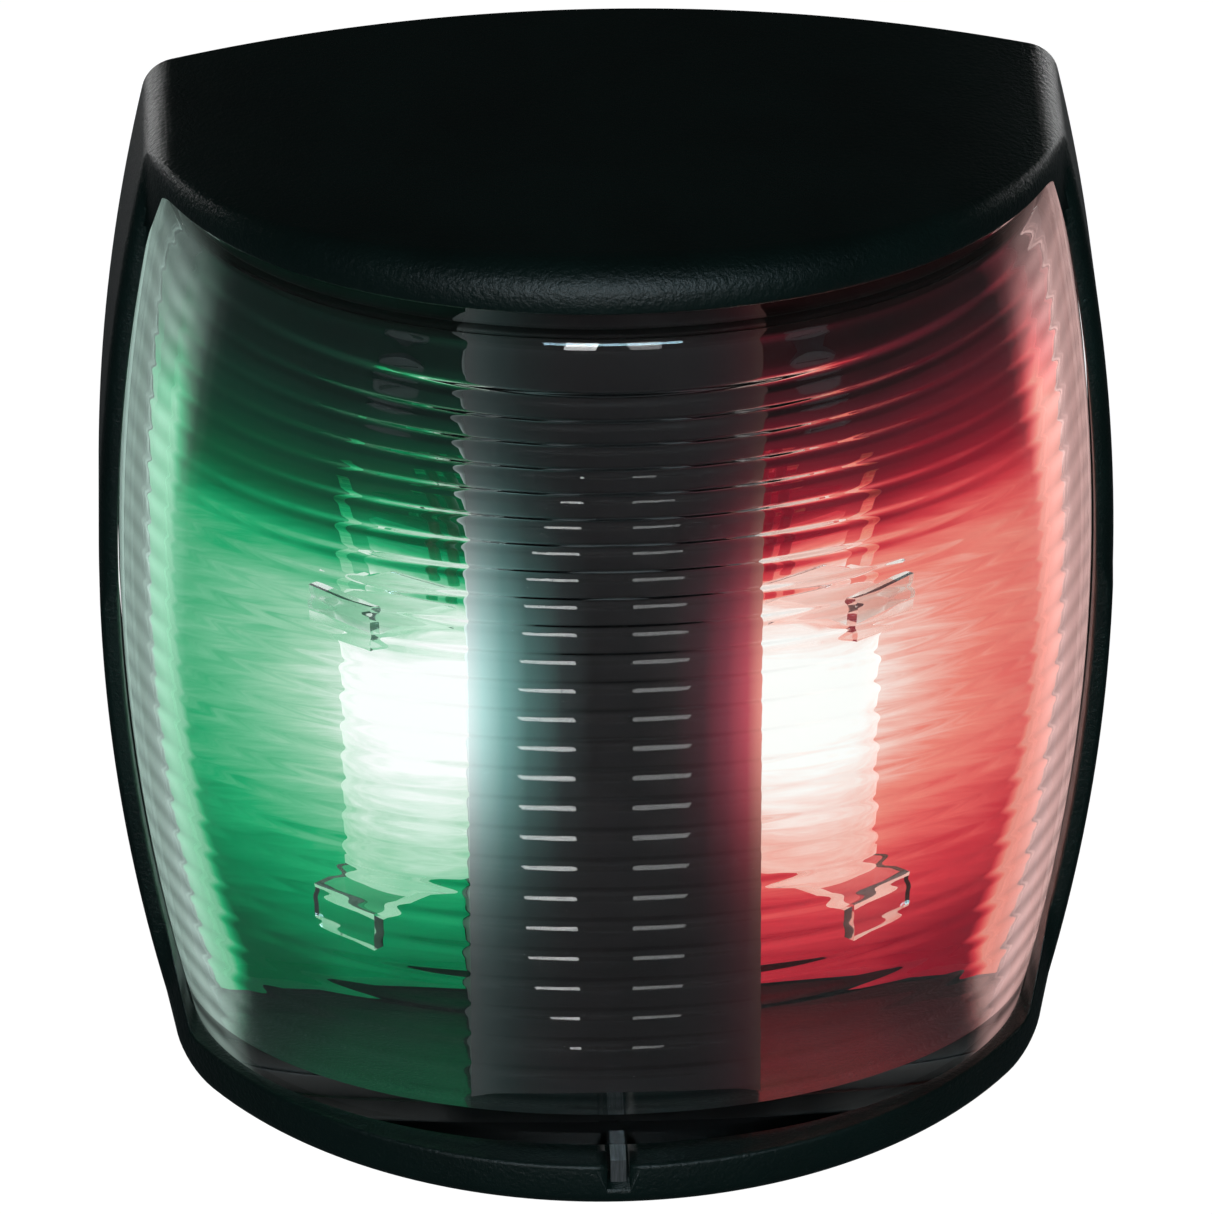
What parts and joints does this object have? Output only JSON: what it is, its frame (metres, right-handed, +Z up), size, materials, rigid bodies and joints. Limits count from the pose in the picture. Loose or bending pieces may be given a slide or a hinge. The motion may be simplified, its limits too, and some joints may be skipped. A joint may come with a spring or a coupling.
{
  "type": "bi-colour navigation light",
  "caption": "Compact bulkhead-mounted boat bow light with a clear ribbed wrap-round lens, green and red chambers either side of a dark screen, and a black pull-off hooded shroud.",
  "frame": {"origin": "centre of the flat rear mounting face, on the bulkhead plane", "axes": "+Y into the bulkhead, so the lamp looks along -Y; +Z up; +X to the port (red) side, which is on the right of someone facing the lamp"},
  "size_m": [0.079, 0.0427, 0.0868],
  "materials": {
    "black_shroud": "fine spark-eroded texture, near black",
    "clear_lens": "polished clear acrylic, ribbed inside",
    "grey_seal": "smooth silicone",
    "black_base": "satin moulded",
    "black_rubber": "matte closed-cell",
    "brass": "turned, knurled",
    "white_plastic": "satin moulded",
    "stainless": "rolled strip",
    "dark_resin": "cast resin",
    "green_board": "solder mask",
    "screw_steel": "bright stainless",
    "ferrite": "sintered",
    "capacitor_can": "plain can",
    "chip_black": "moulded epoxy",
    "aluminium": "die cast",
    "thermal_pad": "soft pad",
    "white_board": "white solder mask",
    "green_source": "lit source",
    "red_source": "lit source",
    "green_optic": "polished clear optic",
    "red_optic": "polished clear optic",
    "clear_clip": "clear moulded",
    "lead_red": "insulated wire",
    "screen_black": "dull black",
    "green_liner": "glossy liner lit green",
    "red_liner": "glossy liner lit red"
  },
  "bodies": {
    "lamp": {"outer_lens": "clear_lens", "lens_seal": "grey_seal", "base_housing": "black_base", "mounting_gasket": "black_rubber", "threaded_inserts": "brass", "cable_gland": "black_rubber", "breather_plug": "white_plastic", "retaining_clip": "stainless", "potting_compound": "dark_resin", "driver_board": "green_board", "driver_board_screws": "screw_steel", "driver_inductor": "ferrite", "driver_capacitors": "capacitor_can", "driver_chips": "chip_black", "supply_terminals": "brass", "heat_sink": "aluminium", "heat_sink_screws": "screw_steel", "thermal_pads": "thermal_pad", "starboard_led_board": "white_board", "port_led_board": "white_board", "starboard_led": "green_source", "port_led": "red_source", "starboard_optic": "green_optic", "port_optic": "red_optic", "optic_clips": "clear_clip", "led_board_screws": "screw_steel", "led_leads": "lead_red", "light_screen": "screen_black", "starboard_reflector": "green_liner", "port_reflector": "red_liner", "reflector_screws": "screw_steel"},
    "shroud": {"shroud": "black_shroud"}
  },
  "joints": [
    {"name": "shroud_pull_off", "type": "slide", "parent": "lamp", "child": "shroud", "axis": [0, -1, 0], "range_m": [0, 0.05]}
  ]
}
